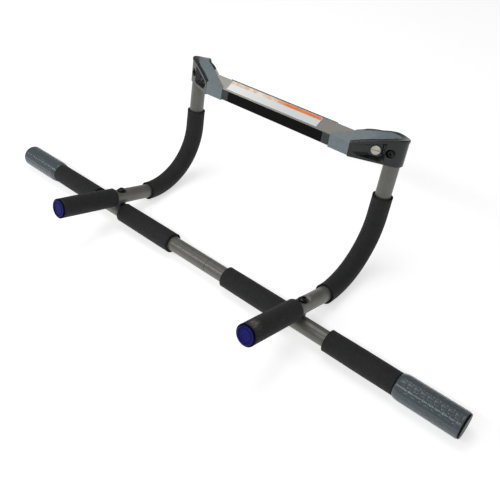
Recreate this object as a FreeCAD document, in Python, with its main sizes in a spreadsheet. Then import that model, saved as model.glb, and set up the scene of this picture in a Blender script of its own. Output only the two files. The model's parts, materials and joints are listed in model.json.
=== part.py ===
import FreeCAD, Part
import math
import os
import Sketcher

# Doorway pull-up bar: a long bar across the door frame, two bent arms that cross it and end in
# handles, and a crossbar head that hooks over the far side of the wall.
#
# Three frames, all in millimetres:
#   design: X along the long bar, handles towards -Y, Z square to both, origin on the bar's axis
#           midway between the arms
#   head:   the design frame moved to the end of the arms' bend and turned with their upper ends
#   row:    the design frame tilted back so that the bar rests on its bumpers and arm sleeves

SIZES = {
    # steel tube
    "tube_od": 25.4,
    "tube_wall": 1.5,
    "fit_gap": 0.15,
    # long bar
    "bar_half": 470.0,
    "seam_x": 22.0,
    "neck_od": 22.1,
    "neck_length": 60.0,
    "neck_taper": 3.0,
    # arms
    "arm_x": 202.8,
    "arm_lift": 26.4,
    "arm_front": 128.0,
    "arm_straight": 57.4,
    "arm_bend": 104.4,
    "arm_turn": 97.2,
    "arm_rise": 124.0,
    # pressed flat for the crossing bolt
    "seat_depth": 3.0,
    "seat_length": 18.0,
    "seat_ramp": 6.0,
    # foam
    "bar_foam_od": 35.1,
    "inner_foam_start": 62.0,
    "inner_foam_end": 188.5,
    "outer_foam_start": 259.7,
    "outer_foam_end": 374.0,
    "handle_foam_od": 33.5,
    "handle_foam_back": 18.5,
    "handle_foam_front": 129.8,
    "sleeve_od": 32.8,
    "sleeve_start": 5.2,
    "sleeve_rise": 33.3,
    # ends of the tubes
    "bumper_od": 39.4,
    "bumper_start": 374.3,
    "bumper_flare": 11.0,
    "plug_flange_od": 37.4,
    "plug_flange": 2.7,
    "plug_depth": 22.0,
    "plug_edge": 1.4,
    "cap_od": 28.4,
    "cap_flange": 1.8,
    "cap_rim": 2.2,
    "cap_dish": 1.3,
    "cap_ring_od": 17.0,
    "cap_depth": 20.0,
    # crossing hardware
    "bolt_od": 8.0,
    "bolt_hole": 8.5,
    "washer_od": 16.0,
    "washer_thick": 1.6,
    "button_od": 13.6,
    "button_height": 3.6,
    "button_flat_od": 8.6,
    "socket_across": 5.0,
    "socket_depth": 2.2,
    "nut_across": 13.0,
    "thin_nut": 4.0,
    "spacer_od": 20.0,
    "insert_od": 11.0,
    "insert_flange_od": 15.0,
    "insert_flange": 0.8,
    "insert_collar_od": 13.2,
    "insert_length": 14.0,
    # crossbar, in the head frame
    "beam_front": 40.3,
    "beam_back": 20.0,
    "beam_low": 90.3,
    "beam_front_top": 108.9,
    "beam_back_top": 123.2,
    "beam_wall": 2.2,
    "beam_edge": 1.4,
    "strap_y": 31.0,
    "strap_thick": 4.0,
    "strap_low": 94.0,
    "strap_height": 16.8,
    "strap_reach": 50.0,
    # wall pads
    "pad_thick": 1.3,
    "pad_gap": 0.1,
    "pad_start": 111.0,
    "pad_under": 9.0,
    # brackets
    "bracket_x": 147.0,
    "corner_x": 140.5,
    "corner_y": 20.2,
    "shoulder": 15.6,
    "bracket_low": 87.6,
    "bracket_wall": 3.0,
    "knee_x": 176.0,
    "knee_y": 2.5,
    "nose_radius": 15.7,
    "nose_shift": 1.6,
    "top_run": 75.0,
    "rim_front": 110.0,
    "rim_climb": 28.8,
    "rim_fall": 8.5,
    "ridge_corner": 124.5,
    "ridge_mid": 130.0,
    "ridge_knee": 131.5,
    "ridge_nose": 128.6,
    "rim_width": 3.3,
    "rim_edge": 1.7,
    "knee_round": 14.0,
    "rim_drop": 4.3,
    "rim_proud": 0.8,
    "panel_depth": 1.4,
    "panel_end": 72.0,
    "panel_tip": 3.5,
    "panel_tip_in": 10.5,
    "pocket_depth": 8.2,
    "tongue_length": 20.0,
    # bracket hardware
    "arm_bolt_z": 106.4,
    "low_head_od": 12.6,
    "low_head_height": 2.8,
    "seat_bore": 13.6,
    "nut_bore": 17.4,
    "thin_washer": 1.2,
    "screw_along": 39.5,
    "screw_z": 104.8,
    "screw_head_od": 15.0,
    "screw_head": 2.4,
    "screw_od": 8.0,
    "slot_width": 1.6,
    "slot_depth": 1.0,
}

V = FreeCAD.Vector
X_AXIS, Y_AXIS, Z_AXIS = V(1, 0, 0), V(0, 1, 0), V(0, 0, 1)
SIDES = {"left": -1, "right": 1}

doc = FreeCAD.newDocument("pull_up_bar")
sheet = doc.addObject("Spreadsheet::Sheet", "Dims")
subparts = []


def fill_sheet():
    """One row per driving dimension: its value, with its name as the alias."""
    for row, (alias, value) in enumerate(SIZES.items(), start=1):
        sheet.set("A%d" % row, str(value))
        sheet.setAlias("A%d" % row, alias)
    doc.recompute()


def size(expression):
    """The number that an expression of the sheet's aliases gives."""
    value = sheet.evalExpression(expression)
    return float(getattr(value, "Value", value))


def bound(expression):
    """The same expression as another object sees it, with each alias read from the sheet."""
    words = expression.replace("(", "( ").replace(")", " )").split()
    return " ".join("Dims." + word if word in SIZES else word for word in words)


def keep(obj, label, placement=None):
    """Mark an object as a sub-part: it gets its label, its place and its own file."""
    obj.Label = label
    if placement is not None:
        obj.Placement = placement
    subparts.append(obj)
    return obj


# ---------------------------------------------------------------- frames

def turn(axis, degrees):
    return FreeCAD.Placement(V(0, 0, 0), FreeCAD.Rotation(axis, degrees))


def shift(x, y, z):
    return FreeCAD.Placement(V(x, y, z), FreeCAD.Rotation())


def tilt_at_rest():
    """Angle of the floor line, tangent to a bumper and to the sleeve round the arm's bend."""
    bumper = size("bumper_od / 2")
    bend_back = size("arm_straight")
    bend_up = size("arm_lift + arm_bend")
    reach = math.hypot(bend_back, bend_up)
    drop = size("arm_bend + sleeve_od / 2") - bumper
    return math.degrees(math.atan2(bend_up, bend_back) - math.asin(drop / reach))


def bend_end():
    """Where the arm's bend ends, in the design frame's Y and Z."""
    angle = math.radians(size("arm_turn"))
    back = size("arm_straight") + size("arm_bend") * math.sin(angle)
    up = size("arm_lift") + size("arm_bend") * (1 - math.cos(angle))
    return back, up


def along_x(x, y=0.0, z=0.0):
    """A piece turned about its own X axis keeps it along the design frame's X."""
    return REST * shift(x, y, z)


def along_minus_x(x):
    return REST * shift(x, 0, 0) * turn(Z_AXIS, 180)


def along_minus_y(x, y, z):
    return REST * shift(x, y, z) * turn(Z_AXIS, -90)


def along_z(x, y, z):
    return REST * shift(x, y, z) * turn(Y_AXIS, -90)


def along_minus_z(x, y, z):
    return REST * shift(x, y, z) * turn(Y_AXIS, 90)


# ---------------------------------------------------------------- modelling helpers

def origin_plane(body, role):
    return next(f for f in body.Origin.OriginFeatures if f.Role == role)


def sketch_on(body, name, role):
    sketch = body.newObject("Sketcher::SketchObject", name)
    sketch.AttachmentSupport = (origin_plane(body, role), [""])
    sketch.MapMode = "FlatFace"
    return sketch


def bind_last(sketch, expression):
    sketch.setExpression("Constraints[%d]" % (sketch.ConstraintCount - 1), bound(expression))


def turned(name, profile):
    """A body of revolution about X. The profile is a closed list of (distance, radius)
    expressions, and each corner is held by them in the sketch."""
    body = doc.addObject("PartDesign::Body", name)
    sketch = sketch_on(body, name + "_profile", "XY_Plane")
    points = [V(size(along), size(radius), 0) for along, radius in profile]
    count = len(points)
    for k in range(count):
        sketch.addGeometry(Part.LineSegment(points[k], points[(k + 1) % count]), False)
    for k in range(count):
        sketch.addConstraint(Sketcher.Constraint("Coincident", k, 2, (k + 1) % count, 1))
    for k, (along, radius) in enumerate(profile):
        sketch.addConstraint(Sketcher.Constraint("DistanceX", -1, 1, k, 1, points[k].x))
        bind_last(sketch, along)
        sketch.addConstraint(Sketcher.Constraint("DistanceY", -1, 1, k, 1, points[k].y))
        bind_last(sketch, radius)
    revolution = body.newObject("PartDesign::Revolution", name + "_turning")
    revolution.Profile = sketch
    revolution.ReferenceAxis = (sketch, ["H_Axis"])
    revolution.Angle = 360
    body.Tip = revolution
    return body


def ring_profile(length, outer, inner):
    return [("0", inner), ("0", outer), (length, outer), (length, inner)]


def arm_path(body, name, whole):
    """The arm's centre line: front run, bend and rise, or only the sleeve's stretch of it."""
    sketch = sketch_on(body, name + "_path", "YZ_Plane")
    radius, lift = size("arm_bend"), size("arm_lift")
    centre = V(size("arm_straight"), lift + radius, 0)
    end_angle = math.radians(size("arm_turn"))
    start_angle = 0.0 if whole else size("sleeve_start") / radius
    rise = "arm_rise" if whole else "sleeve_rise"
    circle = Part.Circle(centre, Z_AXIS, radius)
    quarter = math.pi / 2
    arc = sketch.addGeometry(Part.ArcOfCircle(circle, start_angle - quarter, end_angle - quarter))
    end = centre + V(math.sin(end_angle), -math.cos(end_angle), 0) * radius
    heading = V(math.cos(end_angle), math.sin(end_angle), 0)
    line = sketch.addGeometry(Part.LineSegment(end, end + heading * size(rise)), False)
    sketch.addConstraint(Sketcher.Constraint("Tangent", arc, 2, line, 1))
    sketch.addConstraint(Sketcher.Constraint("Radius", arc, radius))
    bind_last(sketch, "arm_bend")
    sketch.addConstraint(Sketcher.Constraint("DistanceX", -1, 1, arc, 3, centre.x))
    bind_last(sketch, "arm_straight")
    sketch.addConstraint(Sketcher.Constraint("DistanceY", -1, 1, arc, 3, centre.y))
    bind_last(sketch, "arm_lift + arm_bend")
    sketch.addConstraint(Sketcher.Constraint("Distance", line, size(rise)))
    bind_last(sketch, rise)
    sketch.addConstraint(Sketcher.Constraint("Angle", line, end_angle))
    bind_last(sketch, "arm_turn * 1 deg")
    if whole:
        front = sketch.addGeometry(Part.LineSegment(V(-size("arm_front"), lift, 0), V(centre.x, lift, 0)))
        sketch.addConstraint(Sketcher.Constraint("Tangent", front, 2, arc, 1))
        sketch.addConstraint(Sketcher.Constraint("Horizontal", front))
        sketch.addConstraint(Sketcher.Constraint("Distance", front, size("arm_front + arm_straight")))
        bind_last(sketch, "arm_front + arm_straight")
        return sketch, ["Edge3", "Edge1", "Edge2"]
    return sketch, ["Edge1", "Edge2"]


def arm_pipe(name, radii, whole=True):
    """A disc or a ring swept along the arm's centre line, in the design frame at X = 0."""
    body = doc.addObject("PartDesign::Body", name)
    path, edges = arm_path(body, name, whole)
    section = sketch_on(body, name + "_section", "XZ_Plane")
    for expression in radii:
        circle = section.addGeometry(Part.Circle(V(0, 0, 0), Z_AXIS, size(expression)), False)
        section.addConstraint(Sketcher.Constraint("Coincident", circle, 3, -1, 1))
        section.addConstraint(Sketcher.Constraint("Radius", circle, size(expression)))
        bind_last(section, expression)
    if whole:
        section.AttachmentOffset = shift(0, size("arm_lift"), size("arm_front"))
    else:
        angle = size("sleeve_start") / size("arm_bend")
        start_y = size("arm_straight") + size("arm_bend") * math.sin(angle)
        start_z = size("arm_lift") + size("arm_bend") * (1 - math.cos(angle))
        section.AttachmentOffset = shift(0, start_z, -start_y) * turn(X_AXIS, math.degrees(angle))
    doc.recompute()
    pipe = body.newObject("PartDesign::AdditivePipe", name + "_pipe")
    pipe.Profile = section
    pipe.Spine = (path, edges)
    body.Tip = pipe
    return body


def cylinder(name, diameter, length, start, axis):
    obj = doc.addObject("Part::Cylinder", name)
    obj.setExpression("Radius", bound("( " + diameter + " ) / 2"))
    obj.setExpression("Height", bound(length))
    obj.Placement = FreeCAD.Placement(start, FreeCAD.Rotation(Z_AXIS, axis))
    return obj


def prism(name, across, height, start, axis):
    """A hexagonal prism, sized across its flats."""
    obj = doc.addObject("Part::Prism", name)
    obj.Polygon = 6
    obj.setExpression("Circumradius", bound("( " + across + " ) / sqrt(3)"))
    obj.setExpression("Height", bound(height))
    obj.Placement = FreeCAD.Placement(start, FreeCAD.Rotation(Z_AXIS, axis))
    return obj


def cut(name, base, *tools):
    result = base
    for index, tool in enumerate(tools):
        step = doc.addObject("Part::Cut", "%s_cut%d" % (name, index))
        step.Base = result
        step.Tool = tool
        result = step
    return result


def mirrored(source, label):
    """The left-hand twin of a finished right-hand sub-part."""
    obj = doc.addObject("Part::Mirroring", label)
    obj.Source = source
    obj.Normal = X_AXIS
    obj.Base = V(0, 0, 0)
    return keep(obj, label)


def feature(label, shape, placement=None):
    """A sub-part made with Part functions, in the head frame unless a place is given."""
    obj = doc.addObject("Part::Feature", label)
    obj.Shape = shape
    return keep(obj, label, HEAD if placement is None else placement)


# ---------------------------------------------------------------- tubes

def seat_wedge(name, extra):
    """The space over the pressed seat on top of an arm. Extra lowers it by one wall."""
    wedge = doc.addObject("Part::Wedge", name)
    half, ramp = size("seat_length / 2"), size("seat_ramp")
    grow = extra * math.tan(math.atan2(ramp, size("seat_depth")) / 2)
    floor = size("tube_od / 2 - seat_depth") - extra
    top = size("tube_od / 2 + 1")
    reach = half + ramp * (top - floor) / size("seat_depth")
    wide = size("tube_od")
    wedge.Xmin, wedge.Xmax, wedge.X2min, wedge.X2max = -wide, wide, -wide, wide
    wedge.Ymin, wedge.Ymax = floor, top
    wedge.Zmin, wedge.Zmax = -half - grow, half + grow
    wedge.Z2min, wedge.Z2max = -reach - grow, reach + grow
    wedge.Placement = shift(0, 0, size("arm_lift")) * turn(X_AXIS, 90)
    return wedge


def arm_tube(side_name, side):
    """Bent tube with a pressed flat and the holes of its two bolts."""
    name = side_name + "_arm_tube"
    outer = arm_pipe(name + "_outside", ["tube_od / 2"])
    inner = arm_pipe(name + "_inside", ["tube_od / 2 - tube_wall"])
    skin = cut(name + "_skin", outer, seat_wedge(name + "_seat", 0.0))
    hollow = cut(name + "_hollow", inner, seat_wedge(name + "_seat_floor", size("tube_wall")))
    down = cylinder(name + "_crossing_hole", "bolt_hole", "3 * tube_od", V(0, 0, 0), Z_AXIS)
    back, up = bend_end()
    head = shift(0, back, up) * turn(X_AXIS, size("arm_turn - 90"))
    across = cylinder(name + "_bracket_hole", "bolt_hole", "3 * tube_od", V(0, 0, 0), Y_AXIS)
    level = shift(0, -1.5 * size("tube_od"), size("arm_bolt_z"))
    across.Placement = head * level * across.Placement
    tube = cut(name, skin, hollow, down, across)
    keep(tube, name, REST * shift(side * size("arm_x"), 0, 0))


def bar_tubes():
    """The long bar: a plain tube on the left takes the necked end of the right-hand tube."""
    holes = {}
    for side_name, side in SIDES.items():
        start = V(side * size("arm_x"), 0, 0)
        holes[side_name] = cylinder(side_name + "_bar_hole", "insert_od + 2 * fit_gap", "tube_od",
                                    start, Z_AXIS)
    socket = turned("bar_socket_tube_turned", ring_profile(
        "bar_half + seam_x", "tube_od / 2", "tube_od / 2 - tube_wall"))
    socket.Placement = shift(-size("bar_half"), 0, 0)
    keep(cut("bar_socket_tube", socket, holes["left"]), "bar_socket_tube", REST)
    neck_end = "neck_length"
    full = "neck_length + neck_taper"
    end = "neck_length + bar_half - seam_x"
    bore, neck_bore = "tube_od / 2 - tube_wall", "neck_od / 2 - tube_wall"
    neck = turned("bar_neck_tube_turned", [
        ("0", neck_bore), ("0", "neck_od / 2"), (neck_end, "neck_od / 2"),
        (neck_end + " + 0.6", "tube_od / 2"), (end, "tube_od / 2"), (end, bore),
        (full, bore), (neck_end, neck_bore)])
    neck.Placement = shift(size("seam_x - neck_length"), 0, 0)
    keep(cut("bar_neck_tube", neck, holes["right"]), "bar_neck_tube", REST)


# ---------------------------------------------------------------- foam, bumpers and caps

def foam_grips():
    """Straight foam grips on the long bar and on the handles, plain sleeves."""
    inner = "tube_od / 2 + fit_gap"
    for side_name, side in SIDES.items():
        for stretch in ("inner", "outer"):
            start, end = stretch + "_foam_start", stretch + "_foam_end"
            label = "%s_%s_bar_grip" % (side_name, stretch)
            body = turned(label, ring_profile(end + " - " + start, "bar_foam_od / 2", inner))
            keep(body, label, along_x(size(start) if side > 0 else -size(end)))
        label = side_name + "_handle_grip"
        body = turned(label, ring_profile(
            "handle_foam_front - handle_foam_back", "handle_foam_od / 2", inner))
        place = along_minus_y(side * size("arm_x"), -size("handle_foam_back"), size("arm_lift"))
        keep(body, label, place)


def arm_sleeves():
    """Curved foam round each arm's bend."""
    for side_name, side in SIDES.items():
        label = side_name + "_arm_sleeve"
        body = arm_pipe(label, ["sleeve_od / 2", "tube_od / 2 + fit_gap"], whole=False)
        keep(body, label, REST * shift(side * size("arm_x"), 0, 0))


def bumpers():
    """Soft ends of the long bar, flared from the foam's diameter to their own."""
    inner = "tube_od / 2 + fit_gap"
    length = "bar_half - bumper_start"
    for side_name, side in SIDES.items():
        label = side_name + "_bumper"
        body = turned(label, [
            ("0", inner), ("0", "bar_foam_od / 2"), ("bumper_flare / 3", "bar_foam_od / 2 + 1.4"),
            ("bumper_flare", "bumper_od / 2"), (length, "bumper_od / 2"), (length, inner)])
        start = side * size("bumper_start")
        keep(body, label, along_x(start) if side > 0 else along_minus_x(start))


def bar_plugs():
    """Black plugs pressed into the ends of the long bar, with a flange over the bumper."""
    plug = "tube_od / 2 - tube_wall - fit_gap"
    rim, edge = "plug_flange_od / 2", "plug_edge"
    top = "plug_depth + plug_flange"
    for side_name, side in SIDES.items():
        label = side_name + "_bar_plug"
        body = turned(label, [
            ("0", "0"), ("0", plug + " - 1"), ("2", plug), ("plug_depth + fit_gap", plug),
            ("plug_depth + fit_gap", rim), (top + " - " + edge, rim),
            (top + " - " + edge + " * 0.3", rim + " - " + edge + " * 0.3"),
            (top, rim + " - " + edge), (top, "0")])
        start = side * size("bar_half - plug_depth")
        keep(body, label, along_x(start) if side > 0 else along_minus_x(start))


def handle_caps():
    """Blue caps pressed into the handles: a raised rim, a groove, and a ring round a flat disc."""
    plug = "tube_od / 2 - tube_wall - fit_gap"
    back = "cap_depth + fit_gap"
    face = "cap_depth + cap_flange"
    groove = face + " - cap_dish"
    for side_name, side in SIDES.items():
        label = side_name + "_handle_cap"
        body = turned(label, [
            ("0", "0"), ("0", plug + " - 1"), ("2", plug), (back, plug), (back, "cap_od / 2"),
            (face + " - 0.5", "cap_od / 2"), (face, "cap_od / 2 - 0.6"),
            (face, "cap_od / 2 - cap_rim"), (groove, "cap_od / 2 - cap_rim - 0.7"),
            (groove, "cap_ring_od / 2 + 0.7"), (face + " - 0.5", "cap_ring_od / 2"),
            (face + " - 0.5", "cap_ring_od / 2 - 1"), (face + " - 0.9", "cap_ring_od / 2 - 1.8"),
            (face + " - 0.9", "0")])
        start = -size("handle_foam_front + fit_gap - cap_depth")
        keep(body, label, along_minus_y(side * size("arm_x"), start, size("arm_lift")))


# ---------------------------------------------------------------- bolts

def button_bolt(name, head_od, head_height, length):
    """Button-head bolt along +X: head from 0, dome towards -X, with a hexagon socket."""
    body = turned(name + "_turned", [
        ("0", "0"), ("0", "button_flat_od / 2"), (head_height + " * 0.45", head_od + " / 2 - 0.7"),
        (head_height + " * 0.8", head_od + " / 2"), (head_height, head_od + " / 2"),
        (head_height, "bolt_od / 2"), (head_height + " + " + length, "bolt_od / 2"),
        (head_height + " + " + length, "0")])
    socket = prism(name + "_socket", "socket_across", "socket_depth", V(0, 0, 0), X_AXIS)
    return cut(name, body, socket)


def washer(name, outer, thick):
    return turned(name, ring_profile(thick, outer + " / 2", "bolt_hole / 2"))


def thin_nut(name):
    body = prism(name + "_hexagon", "nut_across", "thin_nut", V(0, 0, 0), X_AXIS)
    hole = cylinder(name + "_thread", "bolt_od + 2 * fit_gap", "thin_nut", V(0, 0, 0), X_AXIS)
    return cut(name, body, hole)


def threaded_insert(name):
    """Rivet nut for the top wall of the long bar: flange, body and the collar that grips it."""
    body, collar = "insert_od / 2", "insert_collar_od / 2"
    bore = "bolt_od / 2 + fit_gap"
    grip = "insert_flange + tube_wall + 2.3"
    return turned(name, [
        ("0", bore), ("0", "insert_flange_od / 2"), ("insert_flange", "insert_flange_od / 2"),
        ("insert_flange", body), (grip, body), (grip + " + 0.2", collar), (grip + " + 2.2", collar),
        (grip + " + 3", body), ("insert_length", body), ("insert_length", bore)])


def crossing_hardware(side_name, side):
    """What holds an arm on top of the long bar: bolt, washer, saddle and threaded insert."""
    x = side * size("arm_x")
    seat = size("arm_lift + tube_od / 2 - seat_depth")
    keep(washer(side_name + "_crossing_washer", "washer_od", "washer_thick"),
         side_name + "_crossing_washer", along_z(x, 0, seat))
    label = side_name + "_crossing_bolt"
    grip = "arm_lift + tube_od / 2 - seat_depth + washer_thick + 2"
    bolt = button_bolt(label, "button_od", "button_height", grip)
    keep(bolt, label, along_minus_z(x, 0, seat + size("washer_thick + button_height")))
    label = side_name + "_threaded_insert"
    keep(threaded_insert(label), label, along_minus_z(x, 0, size("tube_od / 2 + insert_flange")))
    bar = cylinder(side_name + "_bar_space", "tube_od + 0.1", "4 * tube_od", V(-50, 0, 0), X_AXIS)
    arm_start = V(0, -50, size("arm_lift"))
    arm = cylinder(side_name + "_arm_space", "tube_od + 0.1", "4 * tube_od", arm_start, Y_AXIS)
    hole = cylinder(side_name + "_saddle_hole", "insert_flange_od + 0.6", "4 * tube_od",
                    V(0, 0, -50), Z_AXIS)
    block = cylinder(side_name + "_saddle_block", "spacer_od", "arm_lift - 12", V(0, 0, 6), Z_AXIS)
    label = side_name + "_saddle_spacer"
    keep(cut(label, block, bar, arm, hole), label, REST * shift(x, 0, 0))


# ---------------------------------------------------------------- head: outlines and surfaces

def tangent(point, centre, radius, hand):
    """Where the line from a point touches a circle, on its right (-1) or its left (+1)."""
    span = centre - point
    angle = math.atan2(span.y, span.x) + hand * math.asin(radius / span.Length)
    reach = math.sqrt(span.Length ** 2 - radius ** 2)
    return point + V(math.cos(angle), math.sin(angle), 0) * reach


def bracket_plan():
    """Key points of the bracket seen from above. Its inner end runs from the front corner up the
    mitre, then back past the crossbar's corner to the end of the crossbar's shoulder."""
    plan = {
        "front": V(size("bracket_x"), -size("beam_front + pad_thick"), 0),
        "corner": V(size("corner_x"), -size("corner_y"), 0),
        "knee": V(size("knee_x"), -size("knee_y"), 0),
        "nose": V(size("arm_x"), size("nose_shift"), 0),
    }
    radius = size("nose_radius")
    plan["front_touch"] = tangent(plan["front"], plan["nose"], radius, -1)
    plan["back_touch"] = tangent(plan["knee"], plan["nose"], radius, 1)
    plan["along"] = (plan["front_touch"] - plan["front"]).normalize()
    plan["inward"] = V(-plan["along"].y, plan["along"].x, 0)
    plan["rearward"] = (plan["knee"] - plan["corner"]).normalize()
    plan["shoulder"] = plan["corner"] + plan["rearward"] * size("shoulder")
    plan["mitre"] = plan["front"] + (plan["corner"] - plan["front"]).normalize() * 5
    return plan


def at_face(plan, along, inward, z):
    """A point given by its distances along and behind the bracket's front face."""
    return plan["front"] + plan["along"] * along + plan["inward"] * inward + V(0, 0, z)


def plan_wire(plan, inner_end):
    """The bracket's outline from above, closed by its inner end's points from front to back."""
    tip = plan["nose"] + X_AXIS * size("nose_radius")
    edges = [
        Part.LineSegment(inner_end[0], plan["front_touch"]).toShape(),
        Part.Arc(plan["front_touch"], tip, plan["back_touch"]).toShape(),
        Part.LineSegment(plan["back_touch"], plan["knee"]).toShape(),
        Part.LineSegment(plan["knee"], inner_end[-1]).toShape(),
    ]
    for index in range(len(inner_end) - 1, 0, -1):
        edges.append(Part.LineSegment(inner_end[index], inner_end[index - 1]).toShape())
    return Part.Wire(edges)


def long_outline(plan, offset):
    """The outline run on past the inner end, grown or shrunk by an offset."""
    inner_end = [plan["front"] - plan["along"] * 12, plan["corner"] - plan["rearward"] * 12]
    return plan_wire(plan, inner_end).makeOffset2D(offset, 2)


def crossbar_side_wire(plan, gap=0.0):
    """The crossbar's half of the head from above, up to a gap from the bracket's inner end."""
    front, mitre, shoulder = plan["front"], plan["mitre"], plan["shoulder"]
    near = front - (mitre - front).normalize() * 12
    far = shoulder + (shoulder - mitre).normalize() * 12
    edge = [point - X_AXIS * gap for point in (near, mitre, far)]
    return polygon([*edge, V(-1, far.y, 0), V(-1, near.y, 0)])


def extruded(wire, low, high):
    face = Part.Face(wire)
    face.translate(V(0, 0, low))
    return face.extrude(V(0, 0, high - low))


def polygon(points):
    return Part.makePolygon(points + [points[0]])


def ridge_heights():
    """(share of the run, height) along the top's back edge, carried on straight at both ends."""
    names = ((0.0, "corner"), (0.27, "mid"), (0.53, "knee"), (1.0, "nose"))
    ridge = [(share, size("ridge_" + name)) for share, name in names]
    rise_in = (ridge[1][1] - ridge[0][1]) / (ridge[1][0] - ridge[0][0])
    rise_out = (ridge[-1][1] - ridge[-2][1]) / (ridge[-1][0] - ridge[-2][0])
    before = (-0.35, ridge[0][1] - 0.35 * rise_in)
    after = (1.3, ridge[-1][1] + 0.3 * rise_out)
    return [before, *ridge, after]


def above_top(plan, lower=0.0):
    """Everything above the bracket's twisted top face, lowered by the given depth: a front rim
    that climbs and levels off, and an arched ridge at the back."""
    front_curve, back_curve = [], []
    for share, height in ridge_heights():
        step = plan["along"] * (size("top_run") * share)
        rim = size("rim_front") + size("rim_climb") * share - size("rim_fall") * share ** 2
        front = plan["front"] + step + V(0, 0, rim - lower)
        back = plan["corner"] + step + V(0, 0, height - lower)
        front_curve.append(front + (front - back) * 0.6)
        back_curve.append(back + (back - front) * 0.9)
    edges = []
    for points in (front_curve, back_curve):
        curve = Part.BSplineCurve()
        curve.interpolate(points)
        edges.append(curve.toShape())
    surface = Part.makeRuledSurface(edges[0], edges[1])
    return surface.extrude(V(0, 0, 80))


def beam_section():
    """The crossbar's outline across X: upright front, sloping top."""
    front, back = -size("beam_front"), -size("beam_back")
    return [V(0, front, size("beam_low")), V(0, front, size("beam_front_top")),
            V(0, back, size("beam_back_top")), V(0, back, size("beam_low"))]


def beam_block(half, outward=0.0):
    """The crossbar as a full block, grown by an offset of its section."""
    wire = polygon(beam_section())
    if outward:
        wire = wire.makeOffset2D(outward, 2)
    face = Part.Face(wire)
    face.translate(V(-half, 0, 0))
    return face.extrude(V(2 * half, 0, 0))


# ---------------------------------------------------------------- head: pieces

def both_sides(shape):
    """A head-frame shape of the right side together with its left-hand twin."""
    return shape.fuse(shape.mirror(V(0, 0, 0), X_AXIS))


def crossbar_shell():
    """Hollow plastic beam between the brackets, with a shoulder that climbs to each ridge."""
    plan = bracket_plan()
    half = plan["shoulder"].x + 2
    block = beam_block(half)
    long_edges = [edge for edge in block.Edges if edge.Length > 1.9 * half]
    block = block.makeFillet(size("beam_edge"), long_edges)
    reach = extruded(crossbar_side_wire(plan, 0.1), 60, 160)
    ridge = [plan["mitre"], plan["corner"], plan["shoulder"]]
    shoulder = extruded(polygon(ridge), size("beam_low"), 150).cut(above_top(plan, size("panel_depth")))
    outside = extruded(plan_wire(plan, [plan["front"], plan["corner"]]), 60, 160)
    block = block.cut(both_sides(outside.common(above_top(plan, size("panel_depth")))))
    block = block.fuse(both_sides(shoulder)).common(both_sides(reach))
    hollow = beam_block(half + 1, -size("beam_wall"))
    feature("crossbar_shell", block.cut(hollow).removeSplitter())


def strap_line(offset):
    """The strap's run from above, moved to the front or back by the offset."""
    plan = bracket_plan()
    bend = V(plan["front"].x - 4.0, -size("strap_y"), 0)
    half_turn = math.atan2(plan["along"].y, plan["along"].x) / 2
    bend_out = V(-math.sin(half_turn), math.cos(half_turn), 0) * (offset / math.cos(half_turn))
    end = bend + plan["along"] * size("strap_reach") + plan["inward"] * offset
    return bend + bend_out, end


def strap_outline(grow=0.0):
    half = size("strap_thick / 2") + grow
    front_bend, front_end = strap_line(-half)
    back_bend, back_end = strap_line(half)
    right = [front_bend, front_end, back_end, back_bend]
    left = [V(-point.x, point.y, 0) for point in reversed(right)]
    return polygon(right + left)


def crossbar_strap():
    """Flat steel bar inside the crossbar, its ends bent back into the brackets."""
    plan = bracket_plan()
    low = size("strap_low")
    strap = extruded(strap_outline(), low, low + size("strap_height"))
    for side in SIDES.values():
        start = at_face(plan, size("screw_along"), -5, size("screw_z"))
        hole = Part.makeCylinder(size("screw_od / 2 + fit_gap"), 40, start, plan["inward"])
        strap = strap.cut(hole if side > 0 else hole.mirror(V(0, 0, 0), X_AXIS))
    feature("crossbar_strap", strap)


def pocket(plan):
    """The recess in the front face that holds the screw head, its sides sloping to its floor."""
    depth = size("pocket_depth")
    mouth = ((5, 97), (5, 106.2), (30, 114.6), (54, 121.0), (55, 92.4), (47, 90.4), (13, 92.6))
    floor = ((29, 98), (28, 109.6), (31, 112.0), (47.5, 115.6), (48.5, 97.0), (44, 94.6), (32, 94.6))
    lean = 0.3
    outer = polygon([at_face(plan, along, -lean, z) for along, z in mouth])
    inner = polygon([at_face(plan, along, depth, z) for along, z in floor])
    return Part.makeLoft([outer, inner], True, True)


def bracket_cavity(plan):
    """The space inside the bracket's arm, open at the bottom."""
    wall = size("bracket_wall")
    front = size("pocket_depth") + wall / 2
    far = 52
    depth = (plan["corner"] - plan["front"]).dot(plan["inward"]) - wall
    end = plan["shoulder"] - plan["front"]
    slope = end.dot(plan["along"]) / end.dot(plan["inward"])
    corners = [at_face(plan, slope * front + wall, front, 0), at_face(plan, far, front, 0),
               at_face(plan, far, depth, 0), at_face(plan, slope * depth + wall, depth, 0)]
    space = extruded(polygon(corners), size("bracket_low - 1"), 150)
    boss = Part.makeCylinder(size("nose_radius + 0.5"), 80, plan["nose"] + V(0, 0, 80))
    return space.cut(boss).cut(above_top(plan, wall + size("panel_depth")))


def bracket_tongue(plan):
    """Plug on the bracket's inner end that enters the hollow crossbar."""
    wall = size("beam_wall") + 0.3
    front, back = -size("beam_front") + wall, -size("beam_back") - wall
    low = size("beam_low") + wall
    start = size("bracket_x - tongue_length")
    box = Part.makeBox(plan["shoulder"].x - start, back - front, 12.5, V(start, front, low))
    return box.common(extruded(crossbar_side_wire(plan, -1.5), 60, 150))


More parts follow.
